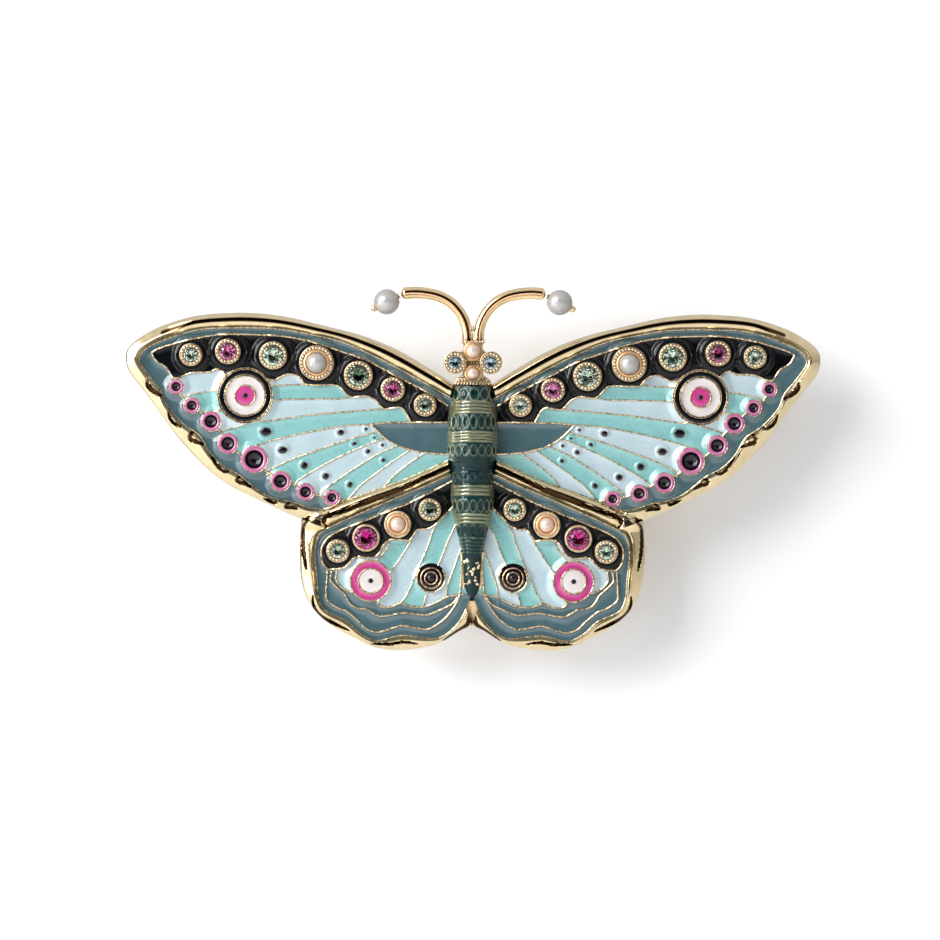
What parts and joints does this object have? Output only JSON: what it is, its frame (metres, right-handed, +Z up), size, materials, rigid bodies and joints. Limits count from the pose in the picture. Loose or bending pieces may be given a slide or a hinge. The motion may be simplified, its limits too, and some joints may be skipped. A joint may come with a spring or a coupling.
{
  "type": "butterfly brooch",
  "caption": "Butterfly brooch with enamelled cast wings, set crystals and pearls, a ringed body, curled antennae, and a hinged pin with a turning safety catch on its back.",
  "frame": {"origin": "on the flat back face of the wing casting, at the middle of the pin's length, where the garment's cloth lies against the brooch", "axes": "+X along the wing span, +Y out of the back towards the wearer, +Z up as worn; the front faces -Y"},
  "size_m": [0.0818, 0.0123, 0.0428],
  "materials": {
    "gold": "polished gold plating with brown antique shading in its hollows",
    "border_enamel": "glossy blue-grey enamel",
    "black_enamel": "glossy black enamel",
    "field_enamel": "aqua and pearl-white enamel in thin gold cells",
    "eye_enamel": "rings of pink, white and black enamel",
    "body_enamel": "translucent teal enamel over a ribbed casting",
    "pearl": "imitation pearl, cream with a soft rose lustre",
    "green_crystal": "faceted foil-backed glass, pale green",
    "pink_crystal": "faceted foil-backed glass, pink",
    "fuchsia_crystal": "faceted foil-backed glass, dark fuchsia",
    "blue_crystal": "faceted foil-backed glass, pale blue"
  },
  "bodies": {
    "brooch": {"wing_casting": "gold", "body": "body_enamel", "head_setting": "gold", "antenna_left": "gold", "antenna_headpin_left": "gold", "fore_enamel_border_left": "border_enamel", "fore_enamel_band_left": "black_enamel", "fore_enamel_field_left": "field_enamel", "fore_eye_left": "eye_enamel", "fore_pearl_left": "pearl", "hind_enamel_border_left": "border_enamel", "hind_enamel_band_left": "black_enamel", "hind_enamel_field_left": "field_enamel", "hind_eye_left": "eye_enamel", "hind_pearl_left": "pearl", "fore_enamel_wedge_left": "border_enamel", "fore_crystal_1_left": "green_crystal", "fore_crystal_2_left": "pink_crystal", "fore_crystal_3_left": "green_crystal", "fore_crystal_4_left": "green_crystal", "fore_crystal_5_left": "pink_crystal", "fore_crystal_6_left": "green_crystal", "hind_crystal_1_left": "green_crystal", "hind_crystal_2_left": "fuchsia_crystal", "hind_crystal_3_left": "green_crystal", "head_crystal_left": "blue_crystal", "antenna_right": "gold", "antenna_headpin_right": "gold", "fore_enamel_border_right": "border_enamel", "fore_enamel_band_right": "black_enamel", "fore_enamel_field_right": "field_enamel", "fore_eye_right": "eye_enamel", "fore_pearl_right": "pearl", "hind_enamel_border_right": "border_enamel", "hind_enamel_band_right": "black_enamel", "hind_enamel_field_right": "field_enamel", "hind_eye_right": "eye_enamel", "hind_pearl_right": "pearl", "fore_enamel_wedge_right": "border_enamel", "fore_crystal_1_right": "green_crystal", "fore_crystal_2_right": "pink_crystal", "fore_crystal_3_right": "green_crystal", "fore_crystal_4_right": "green_crystal", "fore_crystal_5_right": "pink_crystal", "fore_crystal_6_right": "green_crystal", "hind_crystal_1_right": "green_crystal", "hind_crystal_2_right": "fuchsia_crystal", "hind_crystal_3_right": "green_crystal", "head_crystal_right": "blue_crystal", "head_pearl_upper": "pearl", "head_pearl_lower": "pearl", "pin_joint": "gold", "pin_joint_rivet": "gold", "catch_base": "gold"},
    "pin": {"pin_stem": "gold"},
    "catch": {"catch_rotor": "gold"},
    "pearl_left": {"antenna_pearl_left": "pearl"},
    "pearl_right": {"antenna_pearl_right": "pearl"}
  },
  "joints": [
    {"name": "pin_swing", "type": "hinge", "parent": "brooch", "child": "pin", "pos_m": [-0.02, 0.005, 0], "axis": [0, 0, 1], "range_deg": [0, 85]},
    {"name": "catch_turn", "type": "hinge", "parent": "brooch", "child": "catch", "pos_m": [0.0205, 0.005, 0], "axis": [1, 0, 0], "range_deg": [0, 100]},
    {"name": "pearl_spin_left", "type": "hinge", "parent": "brooch", "child": "pearl_left", "pos_m": [-0.01015, -0.0026, 0.01615], "axis": [-0.8956, 0, -0.4448], "continuous": true},
    {"name": "pearl_spin_right", "type": "hinge", "parent": "brooch", "child": "pearl_right", "pos_m": [0.01015, -0.0026, 0.01615], "axis": [0.8956, 0, -0.4448], "continuous": true}
  ]
}
